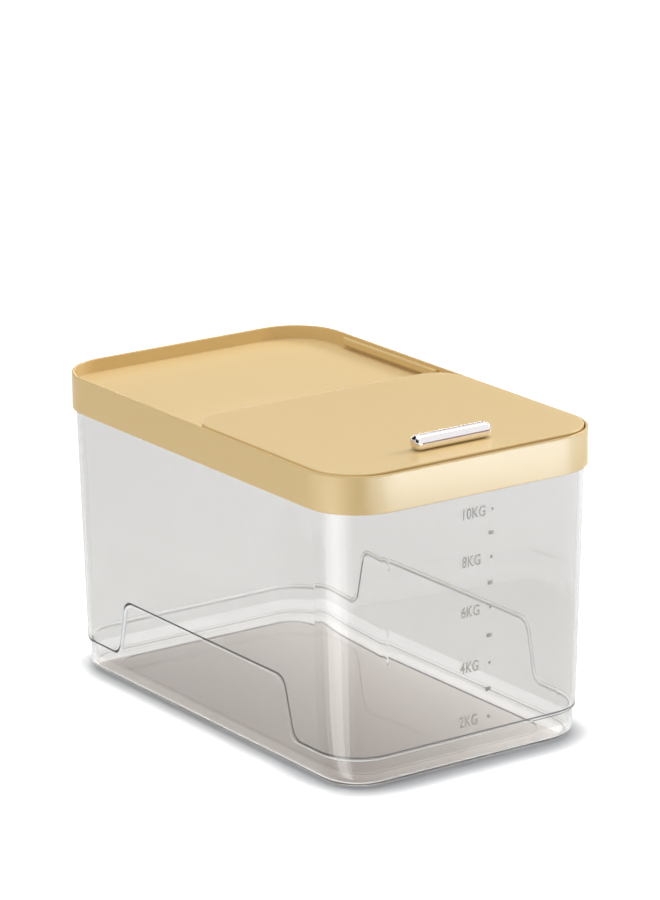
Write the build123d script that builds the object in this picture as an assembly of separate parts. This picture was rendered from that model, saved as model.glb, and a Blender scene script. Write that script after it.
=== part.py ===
"""Countertop rice bin with a clear tub, a lift-off lid frame and a sliding front panel.

The tub stands on the table at z = 0 with its centre on the z axis.
The long side runs along y, the front with the scale faces -y, and all sizes are in millimetres.
"""

import os
from math import radians, tan

from build123d import *

# Overall
LID_WIDTH = 220.0
LID_LENGTH = 356.0
RIM_HEIGHT = 217.5
LID_CORNER_RADIUS = 39.5
OVERRUN = 5.0

# Lid frame
SKIRT_HEIGHT = 26.0
LID_WALL = 2.0
RIM_ROUND = 0.9
SKIRT_FOOT_ROUND = 0.6
DECK_DROP = 10.0
DECK_THICKNESS = 2.4
LEDGE_WIDTH = 13.0
OPENING_REAR_Y = -10.0
OPENING_CORNER_RADIUS = 26.0
OPENING_LIP_DEPTH = 2.6
OPENING_LIP_WALL = 1.8
OPENING_EDGE_ROUND = 0.7
NOTCH_FRONT_Y = -117.0
NOTCH_LENGTH = 32.0
NOTCH_DEPTH = 6.0
RAIL_NEAR_Y = 15.0
RAIL_LENGTH = 112.0
RAIL_REACH = 3.2
RAIL_ROUND = 1.2
PLUG_DEPTH = 8.0
PLUG_WALL = 1.8
DECK_RIB_COUNT = 3
DECK_RIB_WALL = 1.6
DECK_RIB_DEPTH = 4.0

# Seal
SEAL_THICKNESS = 3.0
SEAL_SIDE_GAP = 0.25
SEAL_ROUND = 0.7

# Tub
TUB_WALL = 2.4
FLOOR_THICKNESS = 3.0
DRAFT_DEGREES = 1.5
LID_CLEARANCE = 0.35
PLUG_CLEARANCE = 0.6
STEP_HEIGHT = 20.7
STEP_DEPTH = 2.0
STEP_ROUND_SHARE = 0.45
GRIP_HEIGHT = 62.5
GRIP_HALF_TOP = 95.5
GRIP_HALF_BOTTOM = 106.0
GRIP_BLEND = 10.0
INNER_STEP_LEAD = 1.6
BASE_ROUND = 8.0
FLOOR_ROUND = 4.0
TUB_RIM_ROUND = 0.7
FOOT_RING_WIDTH = 20.0
FOOT_RECESS = 1.2

# Sliding panel
PANEL_SIDE_GAP = 0.6
PANEL_FRONT_GAP = 2.8
PANEL_REAR_Y = 6.5
PANEL_FRONT_RADIUS = 34.5
PANEL_REAR_RADIUS = 25.0
PANEL_RUNNING_GAP = 0.2
PANEL_PROUD = 0.8
RUNNER_THICKNESS = 1.6
COVER_PLATE = 2.4
COVER_WALL = 2.0
COVER_EDGE_ROUND = 1.3
RAIL_GAP = 0.55
COVER_RIB_COUNT = 2
COVER_RIB_WALL = 1.4
PEG_RADIUS = 2.0
PEG_CLEARANCE = 0.05
PEG_INSET = 16.0

# Handle bar and its screws
HANDLE_LENGTH = 61.5
HANDLE_DEPTH = 11.4
HANDLE_HEIGHT = 10.2
HANDLE_SETBACK = 27.4
HANDLE_END_ROUND = 3.8
HANDLE_TOP_ROUND = 5.2
HANDLE_FOOT_ROUND = 3.4
SCREW_SPACING = 36.0
SCREW_RADIUS = 1.5
SCREW_REACH = 5.5
SCREW_HEAD_RADIUS = 3.0
SCREW_HEAD_HEIGHT = 2.0
SCREW_PLAY = 0.05
SCREW_HOLE_PLAY = 0.2
SCREW_SLOT_WIDTH = 0.8
SCREW_SLOT_DEPTH = 0.8

# Heights and half widths that follow from the sizes above
DECK_TOP = RIM_HEIGHT - DECK_DROP
DECK_UNDERSIDE = DECK_TOP - DECK_THICKNESS
TUB_HEIGHT = DECK_UNDERSIDE - SEAL_THICKNESS
SKIRT_FOOT = RIM_HEIGHT - SKIRT_HEIGHT
INNER_HALF_WIDTH = LID_WIDTH / 2 - LID_WALL
INNER_HALF_LENGTH = LID_LENGTH / 2 - LID_WALL
INNER_CORNER_RADIUS = LID_CORNER_RADIUS - LID_WALL
TUB_WIDTH = 2 * (INNER_HALF_WIDTH - LID_CLEARANCE)
TUB_LENGTH = 2 * (INNER_HALF_LENGTH - LID_CLEARANCE)
TUB_CORNER_RADIUS = INNER_CORNER_RADIUS - LID_CLEARANCE
RUNNER_BOTTOM = DECK_TOP + PANEL_RUNNING_GAP
RUNNER_TOP = RUNNER_BOTTOM + RUNNER_THICKNESS
PANEL_TOP = RIM_HEIGHT + PANEL_PROUD
COVER_UNDERSIDE = PANEL_TOP - COVER_PLATE
RAIL_BOTTOM = RUNNER_TOP + RAIL_GAP
RAIL_TOP = COVER_UNDERSIDE - RAIL_GAP
PANEL_HALF_WIDTH = INNER_HALF_WIDTH - PANEL_SIDE_GAP
PANEL_FRONT_Y = PANEL_FRONT_GAP - INNER_HALF_LENGTH
WEB_HALF_WIDTH = INNER_HALF_WIDTH - RAIL_REACH - RAIL_GAP
HANDLE_Y = PANEL_FRONT_Y + HANDLE_SETBACK


def slab(width, length, radius, bottom, top):
    """Upright block with rounded corners, centred on the z axis."""
    return Pos(0, 0, bottom) * extrude(RectangleRounded(width, length, radius), top - bottom)


def ring(half_width, half_length, radius, wall, bottom, top):
    """Closed wall that follows a rounded rectangle, measured to its outer face."""
    outer = slab(2 * half_width, 2 * half_length, radius, bottom, top)
    inner = slab(
        2 * (half_width - wall),
        2 * (half_length - wall),
        radius - wall,
        bottom - OVERRUN,
        top + OVERRUN,
    )
    return outer - inner


def draft_at(height):
    """How far the tub's wall has leaned in at a height, measured from the tub's rim."""
    return (TUB_HEIGHT - height) * tan(radians(DRAFT_DEGREES))


def drafted_block(inset, bottom, top):
    """Block that leans with the tub's walls, set in from their outer faces."""
    lean = inset + draft_at(bottom)
    outline = RectangleRounded(
        TUB_WIDTH - 2 * lean,
        TUB_LENGTH - 2 * lean,
        TUB_CORNER_RADIUS - lean,
    )
    return Pos(0, 0, bottom) * extrude(outline, top - bottom, taper=-DRAFT_DEGREES)


def below_step(lead):
    """Space below the moulded step line, which rises into a hand grip on each long side."""
    reach = TUB_LENGTH / 2 + OVERRUN
    low = STEP_HEIGHT + lead
    high = GRIP_HEIGHT + lead
    step_line = FilletPolyline(
        (-reach, low),
        (-GRIP_HALF_BOTTOM - lead, low),
        (-GRIP_HALF_TOP - lead, high),
        (GRIP_HALF_TOP + lead, high),
        (GRIP_HALF_BOTTOM + lead, low),
        (reach, low),
        radius=GRIP_BLEND,
    )
    floor_line = Polyline((reach, low), (reach, -OVERRUN), (-reach, -OVERRUN), (-reach, low))
    profile = Plane.YZ * make_face(step_line.edges() + floor_line.edges())
    return extrude(profile, TUB_WIDTH / 2 + OVERRUN, both=True)


def stepped_block(inset, bottom, top, base_round, lead):
    """Block inside the tub's outer faces that narrows below a softly rounded step line to a rounded base."""
    core = drafted_block(inset + STEP_DEPTH, bottom, top)
    core = fillet(core.edges().group_by(Axis.Z)[0], base_round)
    skin = drafted_block(inset, bottom, top) - below_step(lead)
    block = core + skin
    step_round = STEP_DEPTH * STEP_ROUND_SHARE
    near_step = (STEP_HEIGHT + lead - step_round, GRIP_HEIGHT + lead + step_round)
    step_edges = block.edges().filter_by_position(Axis.Z, *near_step)
    step_edges = [edge for edge in step_edges if edge.length > 2 * STEP_DEPTH]
    return fillet(step_edges, step_round)


def make_tub():
    """Clear moulded tub: drafted walls, recessed band and grips, rounded base and a foot ring."""
    outside = stepped_block(0, 0, TUB_HEIGHT, BASE_ROUND, 0)
    inside = stepped_block(TUB_WALL, FLOOR_THICKNESS, TUB_HEIGHT + OVERRUN, FLOOR_ROUND, INNER_STEP_LEAD)
    tub = outside - inside
    rim = tub.faces().sort_by(Axis.Z)[-1]
    tub = fillet(rim.edges(), TUB_RIM_ROUND)
    foot_inset = STEP_DEPTH + draft_at(0) + FOOT_RING_WIDTH
    recess = slab(
        TUB_WIDTH - 2 * foot_inset,
        TUB_LENGTH - 2 * foot_inset,
        TUB_CORNER_RADIUS - STEP_DEPTH - draft_at(0) - FOOT_RING_WIDTH / 2,
        -OVERRUN,
        FOOT_RECESS,
    )
    return tub - recess


def opening_block(grow, bottom, top):
    """Block the shape of the scooping opening, grown on all sides."""
    half_width = INNER_HALF_WIDTH - LEDGE_WIDTH + grow
    front_y = LEDGE_WIDTH - INNER_HALF_LENGTH - grow
    rear_y = OPENING_REAR_Y + grow
    block = slab(2 * half_width, rear_y - front_y, OPENING_CORNER_RADIUS + grow, bottom, top)
    return Pos(0, (front_y + rear_y) / 2, 0) * block


def make_rail():
    """One guide rail on the right wall behind the middle, with a rounded nose for the panel's groove."""
    rail = Box(
        RAIL_REACH + LID_WALL / 2,
        RAIL_LENGTH,
        RAIL_TOP - RAIL_BOTTOM,
        align=(Align.MIN, Align.MIN, Align.MIN),
    )
    rail = fillet(rail.edges().group_by(Axis.X)[0], RAIL_ROUND)
    return Pos(INNER_HALF_WIDTH - RAIL_REACH, RAIL_NEAR_Y, RAIL_BOTTOM) * rail


def make_lid_frame():
    """Lid moulding: skirt, rim, rear deck, ledge round the opening, rails and a plug for the tub."""
    frame = slab(LID_WIDTH, LID_LENGTH, LID_CORNER_RADIUS, SKIRT_FOOT, RIM_HEIGHT)
    inside = (2 * INNER_HALF_WIDTH, 2 * INNER_HALF_LENGTH, INNER_CORNER_RADIUS)
    frame -= slab(*inside, DECK_TOP, RIM_HEIGHT + OVERRUN)
    frame -= slab(*inside, SKIRT_FOOT - OVERRUN, DECK_UNDERSIDE)
    frame = fillet(frame.faces().sort_by(Axis.Z)[-1].edges(), RIM_ROUND)
    frame = fillet(frame.faces().sort_by(Axis.Z)[0].edges(), SKIRT_FOOT_ROUND)

    frame += opening_block(OPENING_LIP_WALL, DECK_UNDERSIDE - OPENING_LIP_DEPTH, DECK_UNDERSIDE)
    frame -= opening_block(0, SKIRT_FOOT, RIM_HEIGHT)
    opening_rim = frame.edges().filter_by_position(Axis.Z, DECK_TOP, DECK_TOP)
    opening_rim = opening_rim.filter_by_position(Axis.Y, -INNER_HALF_LENGTH + LID_WALL, OPENING_REAR_Y)
    side_limit = INNER_HALF_WIDTH - LID_WALL
    opening_rim = opening_rim.filter_by_position(Axis.X, -side_limit, side_limit)
    frame = fillet(opening_rim, OPENING_EDGE_ROUND)
    notch = Box(
        2 * (INNER_HALF_WIDTH - LEDGE_WIDTH + NOTCH_DEPTH),
        NOTCH_LENGTH,
        DECK_THICKNESS + OPENING_LIP_DEPTH + OVERRUN,
        align=(Align.CENTER, Align.MIN, Align.MAX),
    )
    frame -= Pos(0, NOTCH_FRONT_Y, DECK_TOP + OVERRUN / 2) * notch

    plug_inset = draft_at(TUB_HEIGHT - PLUG_DEPTH) + TUB_WALL + PLUG_CLEARANCE
    frame += ring(
        TUB_WIDTH / 2 - plug_inset,
        TUB_LENGTH / 2 - plug_inset,
        TUB_CORNER_RADIUS - plug_inset,
        PLUG_WALL,
        TUB_HEIGHT - PLUG_DEPTH,
        DECK_UNDERSIDE,
    )

    rib_front = OPENING_REAR_Y + OPENING_LIP_WALL
    rib_rear = TUB_LENGTH / 2 - plug_inset - PLUG_WALL / 2
    rib_pitch = 2 * (INNER_HALF_WIDTH - LEDGE_WIDTH) / (DECK_RIB_COUNT + 1)
    rib = Box(
        DECK_RIB_WALL,
        rib_rear - rib_front,
        DECK_RIB_DEPTH,
        align=(Align.CENTER, Align.MIN, Align.MAX),
    )
    for index in range(DECK_RIB_COUNT):
        rib_x = rib_pitch * (index - (DECK_RIB_COUNT - 1) / 2)
        frame += Pos(rib_x, rib_front, DECK_UNDERSIDE) * rib

    rear_right = make_rail()
    rear_pair = [rear_right, mirror(rear_right, Plane.YZ)]
    front_pair = [mirror(rail, Plane.XZ) for rail in rear_pair]
    for rail in rear_pair + front_pair:
        frame += rail
    return frame


def make_seal():
    """Soft ring in the channel between skirt and plug, which lies on the tub's rim."""
    plug_inset = draft_at(TUB_HEIGHT - PLUG_DEPTH) + TUB_WALL + PLUG_CLEARANCE
    half_width = INNER_HALF_WIDTH - SEAL_SIDE_GAP
    wall = half_width - (TUB_WIDTH / 2 - plug_inset) - SEAL_SIDE_GAP
    seal = ring(
        half_width,
        INNER_HALF_LENGTH - SEAL_SIDE_GAP,
        INNER_CORNER_RADIUS - SEAL_SIDE_GAP,
        wall,
        TUB_HEIGHT,
        DECK_UNDERSIDE,
    )
    return fillet(seal.faces().sort_by(Axis.Z)[0].edges(), SEAL_ROUND)


def panel_plan(front_y, front_radius, inset):
    """Plan of the sliding panel, set in on all sides, with its own front edge and front corners."""
    length = PANEL_REAR_Y - front_y - 2 * inset
    plan = Rectangle(2 * (PANEL_HALF_WIDTH - inset), length)
    plan = fillet(plan.vertices().group_by(Axis.Y)[0], front_radius - inset)
    plan = fillet(plan.vertices().group_by(Axis.Y)[-1], PANEL_REAR_RADIUS - inset)
    return Pos(0, (front_y + PANEL_REAR_Y) / 2) * plan


def cover_plan(inset):
    """Plan of the panel's cover, which stops short of the front rim so that its edge shows."""
    return panel_plan(PANEL_FRONT_Y, PANEL_FRONT_RADIUS, inset)


def runner_plan():
    """Plan of the runner plate, which nests in the front of the rim."""
    return panel_plan(PANEL_SIDE_GAP - INNER_HALF_LENGTH, INNER_CORNER_RADIUS - PANEL_SIDE_GAP, 0)


def peg_places():
    """Four points near the panel's corners where cover and runner plate are pinned together."""
    x = WEB_HALF_WIDTH - COVER_WALL - PEG_INSET
    front_y = PANEL_FRONT_Y + COVER_WALL + PEG_INSET
    rear_y = PANEL_REAR_Y - COVER_WALL - PEG_INSET
    return [(side * x, y) for side in (-1, 1) for y in (front_y, rear_y)]


def screw_places():
    """The handle's two screw axes."""
    return [(side * SCREW_SPACING / 2, HANDLE_Y) for side in (-1, 1)]


def make_panel_cover():
    """Upper shell of the panel: flat top, turned-down walls, and a groove on each long side for the rails."""
    cover = Pos(0, 0, RUNNER_TOP) * extrude(cover_plan(0), PANEL_TOP - RUNNER_TOP)
    cover = fillet(cover.faces().sort_by(Axis.Z)[-1].edges(), COVER_EDGE_ROUND)
    groove = Box(
        PANEL_HALF_WIDTH,
        LID_LENGTH,
        COVER_UNDERSIDE - RUNNER_TOP + OVERRUN,
        align=(Align.MIN, Align.CENTER, Align.MAX),
    )
    right_groove = Pos(WEB_HALF_WIDTH, 0, COVER_UNDERSIDE) * groove
    cover -= right_groove
    cover -= mirror(right_groove, Plane.YZ)
    between_webs = Rectangle(2 * (WEB_HALF_WIDTH - COVER_WALL), LID_LENGTH)
    hollow_plan = cover_plan(COVER_WALL) & between_webs
    hollow = extrude(hollow_plan, COVER_UNDERSIDE - RUNNER_TOP + OVERRUN)
    cover -= Pos(0, 0, RUNNER_TOP - OVERRUN) * hollow

    rib_length = PANEL_REAR_Y - PANEL_FRONT_Y - COVER_WALL
    rib_y = (PANEL_REAR_Y + PANEL_FRONT_Y) / 2
    rib_pitch = 2 * (WEB_HALF_WIDTH - COVER_WALL) / (COVER_RIB_COUNT + 1)
    rib = Box(
        COVER_RIB_WALL,
        rib_length,
        COVER_UNDERSIDE - RUNNER_TOP,
        align=(Align.CENTER, Align.CENTER, Align.MIN),
    )
    for index in range(COVER_RIB_COUNT):
        rib_x = rib_pitch * (index - (COVER_RIB_COUNT - 1) / 2)
        cover += Pos(rib_x, rib_y, RUNNER_TOP) * rib

    peg = Cylinder(
        PEG_RADIUS,
        COVER_UNDERSIDE - RUNNER_BOTTOM,
        align=(Align.CENTER, Align.CENTER, Align.MIN),
    )
    for x, y in peg_places():
        cover += Pos(x, y, RUNNER_BOTTOM) * peg
    hole = Cylinder(SCREW_RADIUS + SCREW_HOLE_PLAY, COVER_PLATE + OVERRUN)
    for x, y in screw_places():
        cover -= Pos(x, y, PANEL_TOP - COVER_PLATE / 2) * hole
    return cover


def make_runner_plate():
    """Lower plate of the panel: its edges run under the rails and its front nests in the rim."""
    plate = Pos(0, 0, RUNNER_BOTTOM) * extrude(runner_plan(), RUNNER_THICKNESS)
    hole = Cylinder(PEG_RADIUS + PEG_CLEARANCE, RUNNER_THICKNESS + OVERRUN)
    for x, y in peg_places():
        plate -= Pos(x, y, RUNNER_BOTTOM + RUNNER_THICKNESS / 2) * hole
    return plate


def make_handle():
    """Plated pull bar: a rounded section with a flat foot, rounded ends, screwed on from below."""
    section = Rectangle(HANDLE_DEPTH, HANDLE_HEIGHT, align=(Align.CENTER, Align.MIN))
    section = fillet(section.vertices().group_by(Axis.Y)[-1], HANDLE_TOP_ROUND)
    section = fillet(section.vertices().group_by(Axis.Y)[0], HANDLE_FOOT_ROUND)
    bar = extrude(Plane.YZ * section, HANDLE_LENGTH / 2, both=True)
    bar = fillet(bar.faces().filter_by(Axis.X).edges(), HANDLE_END_ROUND)
    bar = Pos(0, HANDLE_Y, PANEL_TOP) * bar
    pilot = Cylinder(
        SCREW_RADIUS + SCREW_PLAY,
        SCREW_REACH + SCREW_PLAY,
        align=(Align.CENTER, Align.CENTER, Align.MIN),
    )
    for x, y in screw_places():
        bar -= Pos(x, y, PANEL_TOP) * pilot
    return bar


def make_screws():
    """Two round-head screws from inside the panel up into the handle."""
    head = Cylinder(
        SCREW_HEAD_RADIUS,
        SCREW_HEAD_HEIGHT,
        align=(Align.CENTER, Align.CENTER, Align.MAX),
    )
    head = fillet(head.faces().sort_by(Axis.Z)[0].edges(), SCREW_HEAD_HEIGHT / 2)
    slot = Box(
        2 * SCREW_HEAD_RADIUS,
        SCREW_SLOT_WIDTH,
        SCREW_SLOT_DEPTH,
        align=(Align.CENTER, Align.CENTER, Align.MIN),
    )
    head -= Pos(0, 0, -SCREW_HEAD_HEIGHT) * slot
    shank = Cylinder(
        SCREW_RADIUS,
        COVER_PLATE + SCREW_REACH,
        align=(Align.CENTER, Align.CENTER, Align.MIN),
    )
    screw = head + shank
    return Compound([Pos(x, y, COVER_UNDERSIDE) * screw for x, y in screw_places()])


def main():
    pieces = {
        "clear_tub": make_tub(),
        "lid_frame": make_lid_frame(),
        "lid_seal": make_seal(),
        "panel_cover": make_panel_cover(),
        "panel_runner_plate": make_runner_plate(),
        "handle_bar": make_handle(),
        "handle_screws": make_screws(),
    }
    os.makedirs("parts", exist_ok=True)
    for name, solid in pieces.items():
        export_step(solid, f"parts/{name}.step")


main()
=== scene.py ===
import math

import bpy
from mathutils import Euler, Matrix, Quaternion, Vector


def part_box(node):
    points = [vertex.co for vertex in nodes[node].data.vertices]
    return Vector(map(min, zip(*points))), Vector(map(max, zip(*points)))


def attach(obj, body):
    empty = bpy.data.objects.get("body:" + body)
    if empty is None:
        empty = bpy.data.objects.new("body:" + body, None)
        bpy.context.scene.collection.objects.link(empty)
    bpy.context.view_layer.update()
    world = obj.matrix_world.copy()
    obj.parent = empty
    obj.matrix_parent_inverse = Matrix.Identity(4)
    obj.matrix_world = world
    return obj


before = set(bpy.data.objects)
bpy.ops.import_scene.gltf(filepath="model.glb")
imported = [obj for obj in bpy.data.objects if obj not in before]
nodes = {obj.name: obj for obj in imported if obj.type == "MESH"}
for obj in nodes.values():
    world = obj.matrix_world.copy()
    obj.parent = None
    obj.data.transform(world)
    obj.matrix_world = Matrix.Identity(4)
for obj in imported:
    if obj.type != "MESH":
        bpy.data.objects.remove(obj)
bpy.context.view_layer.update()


# Tub: one clear moulding in styrene plastic, with drafted walls, a recessed foot band and two hand grips.
# It is injection moulded in one shot. The mould is polished, so the walls are glossy and only
# lightly tinted, with slow flow waves. The thick floor plate is tinted a shade warmer, and darker with
# painted shade.
def new_material(name):
    """A material with its node tree, its main shader, and Object coordinates to drive patterns."""
    material = bpy.data.materials.new(name)
    material.use_nodes = True
    tree = material.node_tree
    place = tree.nodes.new("ShaderNodeTexCoord").outputs["Object"]
    return material, tree, tree.nodes["Principled BSDF"], place


def noise(tree, place, scale, detail=2.0):
    """Soft mottle, as a factor around one half."""
    node = tree.nodes.new("ShaderNodeTexNoise")
    node.inputs["Scale"].default_value = scale
    node.inputs["Detail"].default_value = detail
    tree.links.new(place, node.inputs["Vector"])
    return node.outputs["Fac"]


def blend(tree, factor, under, over):
    """Colour that goes from one to another with a factor. Each is a plain colour or a socket."""
    node = tree.nodes.new("ShaderNodeMix")
    node.data_type = "RGBA"
    tree.links.new(factor, node.inputs["Factor"])
    for socket, colour in ((node.inputs["A"], under), (node.inputs["B"], over)):
        if isinstance(colour, tuple):
            socket.default_value = (*colour, 1)
        else:
            tree.links.new(colour, socket)
    return node.outputs["Result"]


def spread(tree, factor, low, high, start=0.3, end=0.7):
    """Number that goes from low to high as a factor goes from start to end."""
    node = tree.nodes.new("ShaderNodeMapRange")
    node.inputs["From Min"].default_value = start
    node.inputs["From Max"].default_value = end
    node.inputs["To Min"].default_value = low
    node.inputs["To Max"].default_value = high
    tree.links.new(factor, node.inputs["Value"])
    return node.outputs["Result"]


def combine(tree, operation, *factors):
    """Maths on factors, each a socket or a plain number."""
    node = tree.nodes.new("ShaderNodeMath")
    node.operation = operation
    for socket, factor in zip(node.inputs, factors):
        if isinstance(factor, float):
            socket.default_value = factor
        else:
            tree.links.new(factor, socket)
    return node.outputs["Value"]


def parts_of(tree, vector):
    """The three numbers of a vector socket."""
    node = tree.nodes.new("ShaderNodeSeparateXYZ")
    tree.links.new(vector, node.inputs["Vector"])
    return node.outputs


def relief(tree, shader, factor, strength, depth):
    """Fine surface texture on a shader, with its depth in metres."""
    node = tree.nodes.new("ShaderNodeBump")
    node.inputs["Strength"].default_value = strength
    node.inputs["Distance"].default_value = depth
    tree.links.new(factor, node.inputs["Height"])
    tree.links.new(node.outputs["Normal"], shader.inputs["Normal"])


def mix_shaders(tree, factor, first, second):
    """Shader that goes from one to another with a factor."""
    node = tree.nodes.new("ShaderNodeMixShader")
    for socket, source in zip(node.inputs, (factor, first, second)):
        tree.links.new(source, socket)
    return node.outputs["Shader"]


def dress(piece, material):
    piece.data.materials.clear()
    piece.data.materials.append(material)


def clear_plastic():
    hair = 0.0001
    refraction = 1.5
    tint_scale = 6
    gloss_scale, gloss = 40, (0.012, 0.025)
    wave_scale, wave_detail, wave_strength, wave_depth = 7, 0.0, 0.05, 0.0003
    floor_top, floor_edge, base_band = 0.003, 0.0004, 0.012
    floor_half_width = 0.09
    recess_corner, recess_radius = (0.0605, 0.1285), 0.0199
    wall_tint = ((0.818, 0.813, 0.803), (0.838, 0.833, 0.825))
    # Painted light: the foot band and the plate's underside are tinted clearer than the walls, so they show
    # brighter.
    band_tint = (0.97, 0.965, 0.96)
    plate_shade_tints = ((0.26, 0.20, 0.165), (0.73, 0.67, 0.63))
    edge_line_shade = (0.45, 0.44, 0.43)
    shadow_tint = (0.9, 0.895, 0.89)
    ledge_low, ledge_high = 0.015, 0.07
    lean_starts, lean_full = 0.06, 0.2
    ledge_share, faint_share = 0.97, 0.86
    left_wall, right_wall = -0.095, 0.05
    front_wall, front_share = (-0.165, -0.145), 0.72
    pale, ledge_shade_black = (0.87, 0.875, 0.885), (0.02, 0.016, 0.013)
    material, tree, shader, place = new_material("clear_plastic")
    spot = parts_of(tree, place)
    surface = tree.nodes.new("ShaderNodeNewGeometry").outputs
    lean = parts_of(tree, surface["Normal"])["Z"]

    def above(height):
        return spread(tree, spot["Z"], 0.0, 1.0, height - hair, height)

    def beyond(axis, limit):
        return combine(tree, "MAXIMUM", combine(tree, "SUBTRACT", spot[axis], limit), 0.0)

    def product(*factors):
        return combine(tree, "MULTIPLY", *factors)

    # The floor plate's top is tinted warmer and painted darker as painted shade, most on the left, and stays
    # clear over the far side of the foot ring.
    squares = [combine(tree, "POWER", beyond(axis, limit), 2.0) for axis, limit in zip("XY", recess_corner)]
    reach = combine(tree, "SQRT", combine(tree, "ADD", *squares))
    far_ring = spread(tree, reach, 0.0, 1.0, recess_radius - hair, recess_radius + hair)
    across = spread(tree, spot["X"], 0.0, 1.0, -floor_half_width, floor_half_width)
    plate_shade = blend(tree, far_ring, blend(tree, across, *plate_shade_tints), band_tint)
    tint = blend(tree, above(floor_top - hair), band_tint, plate_shade)
    # Painted shade: a thin dark line along the edge of the floor plate.
    tint = blend(tree, above(floor_top + hair), tint, edge_line_shade)
    tint = blend(tree, above(floor_top + floor_edge), tint, band_tint)
    wall = blend(tree, noise(tree, place, tint_scale), *wall_tint)
    tint = blend(tree, above(base_band), tint, wall)
    tree.links.new(tint, shader.inputs["Base Color"])
    tree.links.new(spread(tree, noise(tree, place, gloss_scale), *gloss), shader.inputs["Roughness"])
    relief(tree, shader, noise(tree, place, wave_scale, wave_detail), wave_strength, wave_depth)
    shader.inputs["IOR"].default_value = refraction
    shader.inputs["Transmission Weight"].default_value = 1.0

    # The ledge of the step line gets a pale diffuse shader with painted shade: black where it is seen from
    # within the wall, and from outside on the left wall's upper and the right wall's lower faces, weaker on
    # the front wall, standing in for refraction's dark lines.
    inside = surface["Backfacing"]
    outside = combine(tree, "SUBTRACT", 1.0, inside)
    faces_up = spread(tree, lean, 0.0, 1.0, lean_starts, lean_full)
    faces_down = spread(tree, lean, 1.0, 0.0, -lean_full, -lean_starts)
    left = spread(tree, spot["X"], 1.0, 0.0, left_wall - hair, left_wall)
    right = spread(tree, spot["X"], 0.0, 1.0, right_wall, right_wall + hair)
    dark = product(inside, faces_down)
    for side, facing in ((left, faces_up), (right, faces_down)):
        dark = combine(tree, "MAXIMUM", dark, product(outside, product(side, facing)))
    strong = product(combine(tree, "MAXIMUM", faces_down, dark), ledge_share)
    on_ledge = combine(tree, "MAXIMUM", strong, product(faces_up, faint_share))
    for bound in (above(ledge_low), combine(tree, "SUBTRACT", 1.0, above(ledge_high))):
        on_ledge = product(on_ledge, bound)
    dark = product(dark, spread(tree, spot["Y"], front_share, 1.0, *front_wall))
    ledge_line_paint = tree.nodes.new("ShaderNodeBsdfDiffuse")
    # Painted shade: the ledge's dark lines are painted black.
    tree.links.new(blend(tree, dark, pale, ledge_shade_black), ledge_line_paint.inputs["Color"])
    walls = mix_shaders(tree, on_ledge, shader.outputs["BSDF"], ledge_line_paint.outputs["BSDF"])

    # Shadow rays go straight through, so that the lamps light the inside.
    see_through = tree.nodes.new("ShaderNodeBsdfTransparent")
    see_through.inputs["Color"].default_value = (*shadow_tint, 1)
    in_shadow = tree.nodes.new("ShaderNodeLightPath").outputs["Is Shadow Ray"]
    whole = mix_shaders(tree, in_shadow, walls, see_through.outputs["BSDF"])
    tree.links.new(whole, tree.nodes["Material Output"].inputs["Surface"])
    return material


dress(nodes["clear_tub"], clear_plastic())


# Scale: a kilogram scale in warm grey ink, printed on the outside of the tub's front wall.
# Pad printing leaves a thin film, so the figures and marks stand a hair proud of the plastic.
ink_film, ink_lift = 0.00008, 0.00003
draft = math.radians(1.5)
upright = (math.pi / 2 + draft, 0.0, 0.0)
tub_low, tub_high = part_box("clear_tub")


def on_front_wall(x, z):
    """Point on the drafted front wall at a height, just off its outer face."""
    lean = (tub_high.z - z) * math.tan(draft)
    return Vector((x, tub_low.y + lean - ink_lift, z))


def ink():
    mottle_scale, gloss_scale, gloss = 900, 1200, (0.45, 0.65)
    lower_z, upper_z = 0.07, 0.18
    marks_begin = (0.0088, 0.0092)
    lighter_from, lighter_to = 0.0118, 0.0145
    upper_tones = ((0.155, 0.13, 0.10), (0.245, 0.215, 0.17))
    lower_tones = ((0.26, 0.22, 0.165), (0.36, 0.315, 0.25))
    mark_tones = ((0.19, 0.155, 0.115), (0.42, 0.38, 0.32))
    material, tree, shader, place = new_material("scale_ink")
    spot = parts_of(tree, place)
    mottle = noise(tree, place, mottle_scale)
    # The figures are printed lighter towards the bottom, and the marks lighter towards the right.
    low_share = spread(tree, spot["Z"], 1.0, 0.0, lower_z, upper_z)
    letters = blend(tree, low_share, blend(tree, mottle, *upper_tones), blend(tree, mottle, *lower_tones))
    marks = blend(tree, spread(tree, spot["X"], 0.0, 1.0, lighter_from, lighter_to), *mark_tones)
    is_mark = spread(tree, spot["X"], 0.0, 1.0, *marks_begin)
    tree.links.new(blend(tree, is_mark, letters, marks), shader.inputs["Base Color"])
    tree.links.new(spread(tree, noise(tree, place, gloss_scale), *gloss), shader.inputs["Roughness"])
    return material


scale_ink = ink()
figure_left_x = -0.0118
figure_height = 0.0078
figures = (  # words, height on the tub, width
    ("10KG", 0.1782, 0.0184),
    ("8KG", 0.1451, 0.0150),
    ("6KG", 0.1100, 0.0150),
    ("4KG", 0.0709, 0.0150),
    ("2KG", 0.0328, 0.0150),
)


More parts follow.
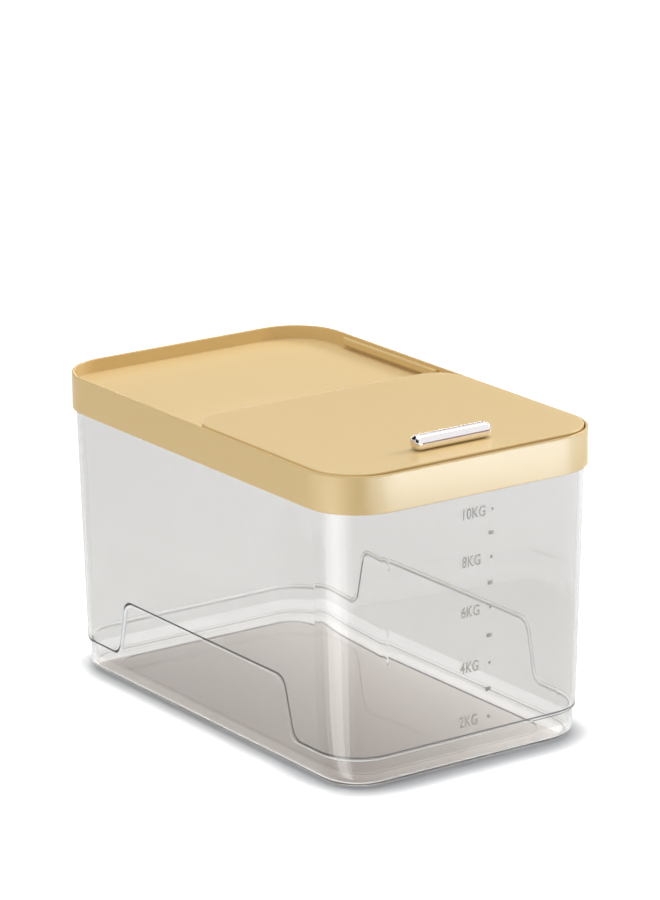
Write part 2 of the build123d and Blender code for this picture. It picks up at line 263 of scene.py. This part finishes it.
def printed_figure(words, z, width):
    """One number of the scale as a thin mesh on the front wall, centred on its mark's height."""
    depth, stroke_gain, letter_gap, curve_steps = 0.02, 0.02, 1.06, 4
    text = bpy.data.curves.new("figure", "FONT")
    text.body = words
    text.extrude = depth
    text.offset = stroke_gain
    text.space_character = letter_gap
    text.resolution_u = curve_steps
    holder = bpy.data.objects.new("figure", text)
    bpy.context.collection.objects.link(holder)
    bpy.context.view_layer.update()
    mesh = bpy.data.meshes.new_from_object(holder.evaluated_get(bpy.context.evaluated_depsgraph_get()))
    bpy.data.objects.remove(holder)
    low = Vector([min(v.co[i] for v in mesh.vertices) for i in range(3)])
    high = Vector([max(v.co[i] for v in mesh.vertices) for i in range(3)])
    size = high - low
    turn = Euler(upright).to_matrix()
    corner = on_front_wall(figure_left_x, z)
    for vertex in mesh.vertices:
        share = [(vertex.co[i] - low[i]) / size[i] for i in range(3)]
        flat = Vector((share[0] * width, (share[1] - 0.5) * figure_height, share[2] * ink_film))
        vertex.co = corner + turn @ flat
    return mesh


def joined(name, meshes):
    """One mesh object at the origin from several meshes."""
    corners, faces = [], []
    for mesh in meshes:
        first = len(corners)
        corners.extend(v.co.copy() for v in mesh.vertices)
        faces.extend([first + i for i in face.vertices] for face in mesh.polygons)
        bpy.data.meshes.remove(mesh)
    whole = bpy.data.meshes.new(name)
    whole.from_pydata(corners, [], faces)
    piece = bpy.data.objects.new(name, whole)
    bpy.context.collection.objects.link(piece)
    return piece


scale_figures = joined("scale_figures", [printed_figure(*row) for row in figures])
dress(scale_figures, scale_ink)
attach(scale_figures, "tub")

mark_x, dash_shift = 0.0124, 0.0007
dot_radius, dash_length, dash_width = 0.00115, 0.0044, 0.0027
dash_heights = (0.1620, 0.1271, 0.0902, 0.0523)


def scale_mark_tree():
    """Puts a round dot on each kilogram level and a short dash on each level between."""
    dot_sides = 20
    sockets = (
        ("Levels", "Geometry"), ("Dot Radius", "Float"), ("Dash Size", "Vector"),
        ("Film", "Float"), ("Turn", "Vector"), ("Ink", "Material"),
    )
    tree = bpy.data.node_groups.new("scale_marks", "GeometryNodeTree")
    for name, kind in sockets:
        tree.interface.new_socket(name, in_out="INPUT", socket_type="NodeSocket" + kind)
    tree.interface.new_socket("Marks", in_out="OUTPUT", socket_type="NodeSocketGeometry")
    given = tree.nodes.new("NodeGroupInput").outputs
    result = tree.nodes.new("NodeGroupOutput").inputs

    dotted = tree.nodes.new("GeometryNodeInputNamedAttribute")
    dotted.data_type = "BOOLEAN"
    dotted.inputs["Name"].default_value = "is_dot"
    dashed = tree.nodes.new("FunctionNodeBooleanMath")
    dashed.operation = "NOT"
    tree.links.new(dotted.outputs["Attribute"], dashed.inputs[0])

    dot = tree.nodes.new("GeometryNodeMeshCylinder")
    dot.inputs["Vertices"].default_value = dot_sides
    tree.links.new(given["Dot Radius"], dot.inputs["Radius"])
    tree.links.new(given["Film"], dot.inputs["Depth"])
    dash = tree.nodes.new("GeometryNodeMeshCube")
    tree.links.new(given["Dash Size"], dash.inputs["Size"])

    both = tree.nodes.new("GeometryNodeJoinGeometry")
    for shape, chosen in ((dot, dotted.outputs["Attribute"]), (dash, dashed.outputs[0])):
        copies = tree.nodes.new("GeometryNodeInstanceOnPoints")
        tree.links.new(given["Levels"], copies.inputs["Points"])
        tree.links.new(chosen, copies.inputs["Selection"])
        tree.links.new(shape.outputs["Mesh"], copies.inputs["Instance"])
        tree.links.new(given["Turn"], copies.inputs["Rotation"])
        tree.links.new(copies.outputs["Instances"], both.inputs["Geometry"])
    real = tree.nodes.new("GeometryNodeRealizeInstances")
    tree.links.new(both.outputs["Geometry"], real.inputs["Geometry"])
    paint = tree.nodes.new("GeometryNodeSetMaterial")
    tree.links.new(real.outputs["Geometry"], paint.inputs["Geometry"])
    tree.links.new(given["Ink"], paint.inputs["Material"])
    tree.links.new(paint.outputs["Geometry"], result["Marks"])
    return tree


def grown(name, base_mesh, tree, values):
    """Runs a node tree on a mesh and gives the result as a plain mesh object at the origin."""
    holder = bpy.data.objects.new(name + "_base", base_mesh)
    bpy.context.collection.objects.link(holder)
    modifier = holder.modifiers.new("tree", "NODES")
    modifier.node_group = tree
    for item in tree.interface.items_tree:
        if item.name in values:
            modifier[item.identifier] = values[item.name]
    bpy.context.view_layer.update()
    mesh = bpy.data.meshes.new_from_object(holder.evaluated_get(bpy.context.evaluated_depsgraph_get()))
    bpy.data.objects.remove(holder)
    mesh.name = name
    piece = bpy.data.objects.new(name, mesh)
    bpy.context.collection.objects.link(piece)
    return piece


dots = [on_front_wall(mark_x, z) for _, z, _ in figures]
dashes = [on_front_wall(mark_x - dash_shift, z) for z in dash_heights]
levels = bpy.data.meshes.new("levels")
levels.from_pydata(dots + dashes, [], [])
is_dot = levels.attributes.new("is_dot", "BOOLEAN", "POINT")
is_dot.data.foreach_set("value", [True] * len(dots) + [False] * len(dashes))
scale_marks = grown("scale_marks", levels, scale_mark_tree(), {
    "Dot Radius": dot_radius,
    "Dash Size": (dash_length, dash_width, ink_film),
    "Film": ink_film,
    "Turn": upright,
    "Ink": scale_ink,
})
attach(scale_marks, "tub")


# Seal: a soft translucent ring that lies on the tub's rim, pressed into the channel under the lid.
# It is moulded in silicone rubber with a dry, faintly mottled surface.
def plain_finish(name, tone_scale, tones, gloss_scale, gloss, grain_scale, grain_detail, strength, depth):
    """Material with mottled colour, uneven gloss and fine grain, each from its own noise."""
    material, tree, shader, place = new_material(name)
    tree.links.new(blend(tree, noise(tree, place, tone_scale), *tones), shader.inputs["Base Color"])
    tree.links.new(spread(tree, noise(tree, place, gloss_scale), *gloss), shader.inputs["Roughness"])
    relief(tree, shader, noise(tree, place, grain_scale, grain_detail), strength, depth)
    return material, shader


seal_rubber, shader = plain_finish(
    "seal_rubber", tone_scale=120, tones=((0.70, 0.70, 0.68), (0.80, 0.80, 0.78)),
    gloss_scale=300, gloss=(0.48, 0.62), grain_scale=900, grain_detail=2.0, strength=0.2, depth=0.0001)
shader.inputs["Subsurface Weight"].default_value = 0.2
shader.inputs["Subsurface Radius"].default_value = (0.002, 0.002, 0.002)
dress(nodes["lid_seal"], seal_rubber)


# Lid frame: one satin moulding in butter yellow, with the skirt, rim, rear deck and guide rails.
# It is injection moulded in opaque plastic, and lifts off the tub. The deck is duller, and painted a shade
# paler as painted light against the rim walls' shade.
def lid_plastic():
    deck_top, deck_fade = 0.208, 0.0005
    level_starts, level_full = 0.7, 0.9
    tones = ((0.755, 0.545, 0.245), (0.77, 0.558, 0.255))
    deck_painted_light = (0.775, 0.578, 0.283)
    tone_scale, tone_detail = 14, 3.0
    gloss_scale, gloss, deck_dullness = 60, (0.215, 0.235), 0.15
    grain_scale, grain_detail, grain_strength, grain_depth = 3200, 1.0, 0.02, 0.00002
    material, tree, shader, place = new_material("lid_plastic")
    tone = blend(tree, noise(tree, place, tone_scale, tone_detail), *tones)
    facing = parts_of(tree, tree.nodes.new("ShaderNodeNewGeometry").outputs["Normal"])["Z"]
    level = spread(tree, facing, 0.0, 1.0, level_starts, level_full)
    low = spread(tree, parts_of(tree, place)["Z"], 1.0, 0.0, deck_top, deck_top + deck_fade)
    on_deck = combine(tree, "MULTIPLY", low, level)
    # Painted light: the deck's upward faces are painted paler.
    tree.links.new(blend(tree, on_deck, tone, deck_painted_light), shader.inputs["Base Color"])
    rough = spread(tree, noise(tree, place, gloss_scale), *gloss)
    rough = combine(tree, "ADD", rough, combine(tree, "MULTIPLY", on_deck, deck_dullness))
    tree.links.new(rough, shader.inputs["Roughness"])
    relief(tree, shader, noise(tree, place, grain_scale, grain_detail), grain_strength, grain_depth)
    shader.inputs["Specular IOR Level"].default_value = 0.3
    return material


lid_yellow = lid_plastic()
dress(nodes["lid_frame"], lid_yellow)


# Sliding panel: a hollow cover and a runner plate under it, moulded in the lid's own plastic.
# Pins hold the plate to the cover, and the groove between them runs on the frame's rails.
dress(nodes["panel_runner_plate"], lid_yellow)
dress(nodes["panel_cover"], lid_yellow)


# Pull bar: a solid zinc bar with bright chrome plating, screwed to the panel from inside.
# The plating is mirror bright, with the faint waviness that polishing leaves, and its colour is tinted
# faintly pink as a painted reflection of the panel.
bright_chrome, shader = plain_finish(
    "handle_chrome", tone_scale=60, tones=((0.85, 0.815, 0.825), (0.89, 0.855, 0.865)),
    gloss_scale=500, gloss=(0.05, 0.10), grain_scale=90, grain_detail=1.0, strength=0.03, depth=0.0001)
shader.inputs["Metallic"].default_value = 1.0
dress(nodes["handle_bar"], bright_chrome)


# Screws: two slotted steel screws in plain zinc, with the fine grain of tumbled plating.
# They go up through the panel's cover from inside, and hold the pull bar.
plain_steel, shader = plain_finish(
    "screw_steel", tone_scale=700, tones=((0.46, 0.46, 0.47), (0.60, 0.60, 0.60)),
    gloss_scale=1500, gloss=(0.30, 0.45), grain_scale=2500, grain_detail=2.0, strength=0.2, depth=0.00005)
shader.inputs["Metallic"].default_value = 1.0
dress(nodes["handle_screws"], plain_steel)


# Stage: a plain white floor with a contact shadow, soft studio light, and a camera at the photo's angle.
# Lamps stand at the right and the left and hang overhead. Bright and dark cards, which only
# reflections show, give the skirt, the clear walls and the plating their bands and lines.
floor_reach, floor_z = 6.0, -0.0004
floor_white, floor_shade = (0.95, 0.95, 0.95), (0.35, 0.36, 0.38)
contact_distance, contact_samples = 0.028, 16
glow_most, glow_starts, glow_full = 0.5, 0.6, 0.98
shade_full, shade_ends = 0.35, 0.95
corner_signs = ((-1, -1), (1, -1), (1, 1), (-1, 1))
floor_mesh = bpy.data.meshes.new("floor")
floor_corners = [(floor_reach * x, floor_reach * y, floor_z) for x, y in corner_signs]
floor_mesh.from_pydata(floor_corners, [], [(0, 1, 2, 3)])
floor = bpy.data.objects.new("floor", floor_mesh)
bpy.context.collection.objects.link(floor)
floor_paint, tree, shader, _ = new_material("floor_paint")
shader.inputs["Roughness"].default_value = 0.9
shader.inputs["Specular IOR Level"].default_value = 0.0
shader.inputs["Emission Color"].default_value = (1, 1, 1, 1)
contact = tree.nodes.new("ShaderNodeAmbientOcclusion")
contact.samples = contact_samples
contact.inputs["Distance"].default_value = contact_distance
openness = contact.outputs["AO"]
seen = tree.nodes.new("ShaderNodeLightPath").outputs["Is Camera Ray"]
lift = combine(tree, "MULTIPLY", seen, spread(tree, openness, 0.0, glow_most, glow_starts, glow_full))
tree.links.new(lift, shader.inputs["Emission Strength"])
shade = combine(tree, "MULTIPLY", seen, spread(tree, openness, 1.0, 0.0, shade_full, shade_ends))
tree.links.new(blend(tree, shade, floor_white, floor_shade), shader.inputs["Base Color"])
dress(floor, floor_paint)

ambient, white = 0.45, 1.0
world = bpy.data.worlds.new("studio")
bpy.context.scene.world = world
world.use_nodes = True
tree = world.node_tree
sky = tree.nodes["Background"]
sky.inputs["Color"].default_value = (1, 1, 1, 1)
path = tree.nodes.new("ShaderNodeLightPath").outputs
shown = combine(tree, "MAXIMUM", path["Is Glossy Ray"], path["Is Transmission Ray"])
shown = combine(tree, "MAXIMUM", shown, path["Is Camera Ray"])
tree.links.new(spread(tree, shown, ambient, white, 0.0, 1.0), sky.inputs["Strength"])


def softbox(name, place, aim, width, height, radiance):
    """Flat lamp at a place, facing a point, invisible to the camera and through the plastic."""
    lamp = bpy.data.lights.new(name, "AREA")
    lamp.shape = "RECTANGLE"
    lamp.size = width
    lamp.size_y = height
    lamp.energy = radiance * math.pi * width * height
    holder = bpy.data.objects.new(name, lamp)
    holder.location = place
    holder.rotation_euler = (Vector(aim) - Vector(place)).to_track_quat("-Z", "Y").to_euler()
    holder.visible_camera = False
    holder.visible_transmission = False
    bpy.context.collection.objects.link(holder)


softbox("key", place=(2.2, -0.2, 1.3), aim=(0, 0, 0.2), width=0.7, height=0.7, radiance=17.0)
softbox("overhead", place=(0.3, 0.3, 2.3), aim=(0, 0, 0.2), width=2.0, height=2.0, radiance=1.65)
softbox("fill", place=(-2.2, -0.4, 1.6), aim=(0, 0, 0.12), width=1.6, height=1.6, radiance=1.5)


def only_in_reflections(card):
    """Hides a studio card from the camera, from light and from what is seen through the plastic."""
    card.visible_camera = False
    card.visible_diffuse = False
    card.visible_transmission = False
    card.visible_shadow = False


def shine_card(name, corner_rows, glow_row, radiance, tint=(1, 1, 1)):
    """Glowing card from two rows of points, brightest where its glow is 1, that only shows in reflections."""
    across = len(glow_row)
    quads = [(i, i + 1, i + across + 1, i + across) for i in range(across - 1)]
    mesh = bpy.data.meshes.new(name)
    mesh.from_pydata([point for row in corner_rows for point in row], [], quads)
    mesh.attributes.new("glow", "FLOAT", "POINT").data.foreach_set("value", [*glow_row, *glow_row])
    card = bpy.data.objects.new(name, mesh)
    bpy.context.collection.objects.link(card)
    lit, tree, shader, _ = new_material(name)
    shader.inputs["Base Color"].default_value = (0, 0, 0, 1)
    shader.inputs["Specular IOR Level"].default_value = 0.0
    shader.inputs["Emission Color"].default_value = (*tint, 1)
    glow = tree.nodes.new("ShaderNodeAttribute")
    glow.attribute_name = "glow"
    level = spread(tree, glow.outputs["Fac"], 0.0, radiance, 0.0, 1.0)
    tree.links.new(level, shader.inputs["Emission Strength"])
    dress(card, lit)
    only_in_reflections(card)


front_top = 0.2
front_line = (  # x, y, lower edge, glow
    (-0.326, -0.667, 0.035, 0.04),
    (-0.236, -0.667, 0.045, 0.2),
    (-0.151, -0.667, 0.051, 0.38),
    (-0.0625, -0.667, 0.052, 0.45),
    (0.0256, -0.667, 0.048, 0.55),
    (0.125, -0.667, 0.039, 0.70),
    (0.24, -0.667, 0.0255, 1.0),
    (0.30, -0.667, 0.022, 1.0),
    (0.75, -0.60, 0.022, 1.0),
    (1.0, -0.25, 0.022, 1.0),
)
front_rows = [[row[:3] for row in front_line], [(*row[:2], front_top) for row in front_line]]
front_glow = [row[3] for row in front_line]
shine_card("front_card", front_rows, front_glow, radiance=26.0, tint=(0.88, 1.0, 1.1))


def fan_card(name, near, far, rays, radiance):
    """Floor card in rays from the tub's front left corner, between two distances."""
    corner_x, corner_y, card_z = -0.095, -0.165, 0.002
    rows = []
    for distance in (near, far):
        turns = [math.radians(turn) for turn, _ in rays]
        rows.append([
            (corner_x - distance * math.sin(turn), corner_y - distance * math.cos(turn), card_z)
            for turn in turns])
    shine_card(name, rows, [glow for _, glow in rays], radiance)


near_rays = (  # turn in degrees, glow
    (24, 0.14), (42, 0.18), (58, 0.6), (75, 1.0), (91, 0.9), (109, 0.35), (122, 0.14))
far_rays = (
    (30, 0.13), (44, 0.2), (58, 0.5), (75, 0.85), (91, 1.0), (109, 0.8), (131, 0.4), (145, 0.13))
fan_card("left_card_near", near=0.0, far=0.62, rays=near_rays, radiance=6.2)
fan_card("left_card_far", near=0.64, far=1.2, rays=far_rays, radiance=6.8)


def flag(name, place, aim, width, height, tone=(0.02, 0.02, 0.02)):
    """Dark card that shows only in reflections and gives the plating its dark lines."""
    mesh = bpy.data.meshes.new(name)
    corners = [(width / 2 * x, height / 2 * y, 0) for x, y in corner_signs]
    mesh.from_pydata(corners, [], [(0, 1, 2, 3)])
    card = bpy.data.objects.new(name, mesh)
    card.location = place
    card.rotation_euler = (Vector(aim) - Vector(place)).to_track_quat("Z", "Y").to_euler()
    bpy.context.collection.objects.link(card)
    dull, _, shader, _ = new_material(name)
    shader.inputs["Base Color"].default_value = (*tone, 1)
    shader.inputs["Specular IOR Level"].default_value = 0.0
    dress(card, dull)
    only_in_reflections(card)


bar_brown = (0.30, 0.19, 0.15)
flag("back_flag", place=(1.2, 1.7, 0.63), aim=(0, 0, 0.22), width=2.4, height=0.46)
flag("left_flag", place=(-1.0, 1.7, 1.3), aim=(0, -0.144, 0.22), width=2.2, height=2.0)
flag("side_flag", place=(-1.9, -0.4, 1.15), aim=(0, -0.144, 0.22), width=2.4, height=1.7)
flag("low_flag", place=(0.136, -0.35, 0.200), aim=(0, -0.144, 0.222), width=0.6, height=0.055, tone=bar_brown)
strip_ends, strip_heights = ((0.2, 2.4), (2.2, 1.0)), (0.235, 0.36)
strip_rows = [[(x, y, z) for x, y in strip_ends] for z in strip_heights]
shine_card("back_strip", strip_rows, [1.0, 1.0], radiance=10.0)

focal_pixels, photo_pixels, sensor_mm = 4427.57, 900, 36
camera_data = bpy.data.cameras.new("camera")
camera_data.lens = focal_pixels * sensor_mm / photo_pixels
camera_data.clip_end = 100
camera = bpy.data.objects.new("camera", camera_data)
camera_place = Vector((-1.66216, -2.39429, 1.03275))
camera_aim = Vector((-0.03943, -0.06328, 0.20099))
camera_roll = Quaternion((0, 0, 1), math.radians(-0.444))
camera.location = camera_place
camera.rotation_euler = ((camera_aim - camera_place).to_track_quat("-Z", "Y") @ camera_roll).to_euler()
bpy.context.collection.objects.link(camera)
bpy.context.scene.camera = camera
bpy.context.scene.view_settings.view_transform = "Standard"
